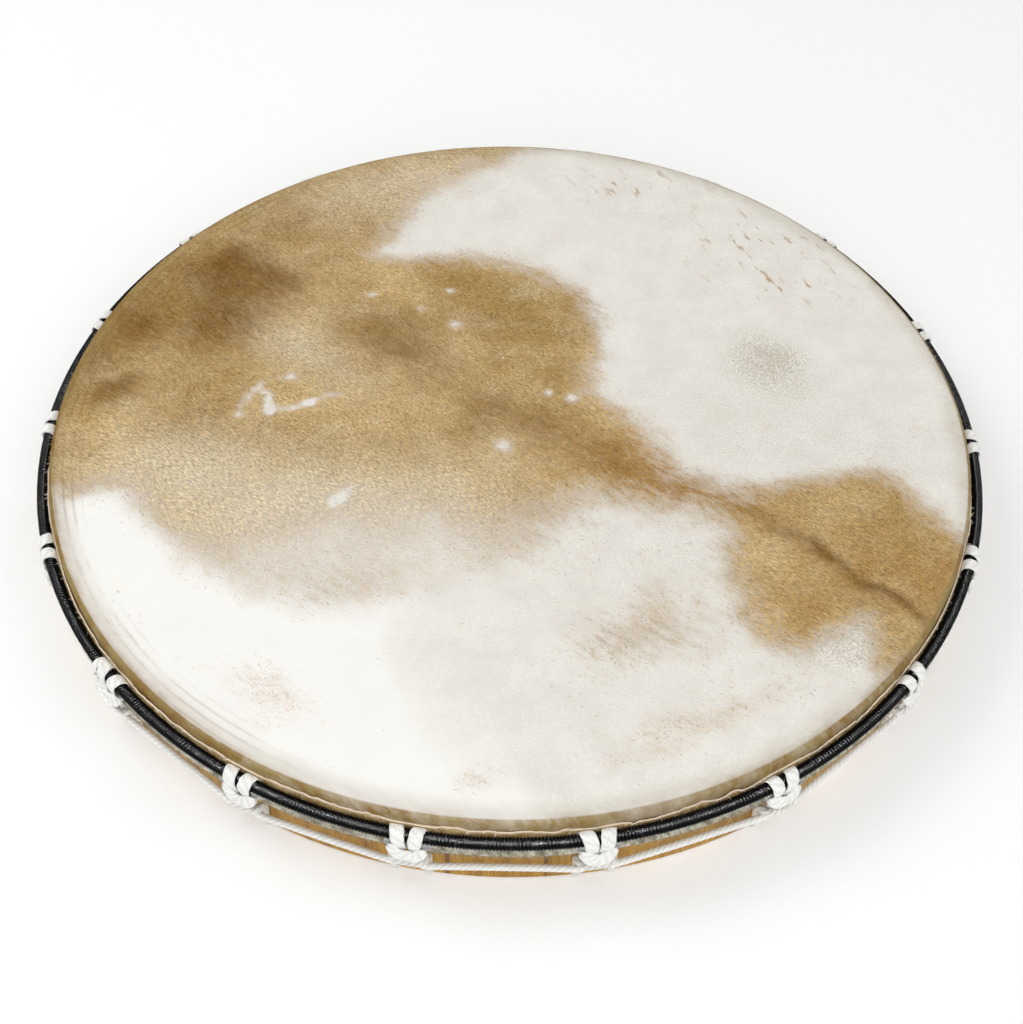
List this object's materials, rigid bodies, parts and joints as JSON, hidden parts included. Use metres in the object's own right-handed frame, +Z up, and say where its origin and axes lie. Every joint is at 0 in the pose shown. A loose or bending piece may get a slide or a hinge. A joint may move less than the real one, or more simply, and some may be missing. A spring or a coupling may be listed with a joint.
{
  "type": "frame drum",
  "caption": "Large round frame drum: shallow bent-wood hoop, natural hide head, black whipped crown ring and white rope hitches that tie the head down to a hand ring at the back.",
  "frame": {"origin": "on the drum's axis, at the bottom edge of the hoop that the drum stands on", "axes": "+Z up through the head; -Y is the side nearest the viewer of the source view"},
  "size_m": [0.6234, 0.6186, 0.062],
  "materials": {
    "hoop_wood": "clear-finished bent hardwood, honey amber, satin",
    "hide": "natural hide with short shaved hair, white with tan and brown patches",
    "ring_steel": "bare steel rod, welded into a ring",
    "whipping_cord": "glossy black cord whipped tightly round the rod",
    "white_rope": "white low-stretch rope, twisted strands, slightly glossy"
  },
  "bodies": {
    "root": {"shell": "hoop_wood", "head_skin": "hide", "flesh_hoop": "ring_steel", "crown_ring": "ring_steel", "crown_ring_wrap": "whipping_cord", "hand_ring": "ring_steel", "hand_ring_wrap": "whipping_cord", "hitch_01": "white_rope", "hitch_02": "white_rope", "hitch_03": "white_rope", "hitch_04": "white_rope", "hitch_05": "white_rope", "hitch_06": "white_rope", "hitch_07": "white_rope", "hitch_08": "white_rope", "hitch_09": "white_rope", "hitch_10": "white_rope", "hitch_11": "white_rope", "hitch_12": "white_rope", "hitch_13": "white_rope", "hitch_14": "white_rope", "hitch_15": "white_rope", "hitch_16": "white_rope", "hitch_17": "white_rope", "hitch_18": "white_rope", "tension_rope_01": "white_rope", "tension_rope_02": "white_rope", "tension_rope_03": "white_rope", "tension_rope_04": "white_rope", "tension_rope_05": "white_rope", "tension_rope_06": "white_rope", "tension_rope_07": "white_rope", "tension_rope_08": "white_rope", "tension_rope_09": "white_rope", "tension_rope_10": "white_rope", "tension_rope_11": "white_rope", "tension_rope_12": "white_rope", "tension_rope_13": "white_rope", "tension_rope_14": "white_rope", "tension_rope_15": "white_rope", "tension_rope_16": "white_rope", "tension_rope_17": "white_rope", "tension_rope_18": "white_rope", "loop_rope_spans": "white_rope", "rope_lashing": "white_rope"}
  },
  "joints": []
}
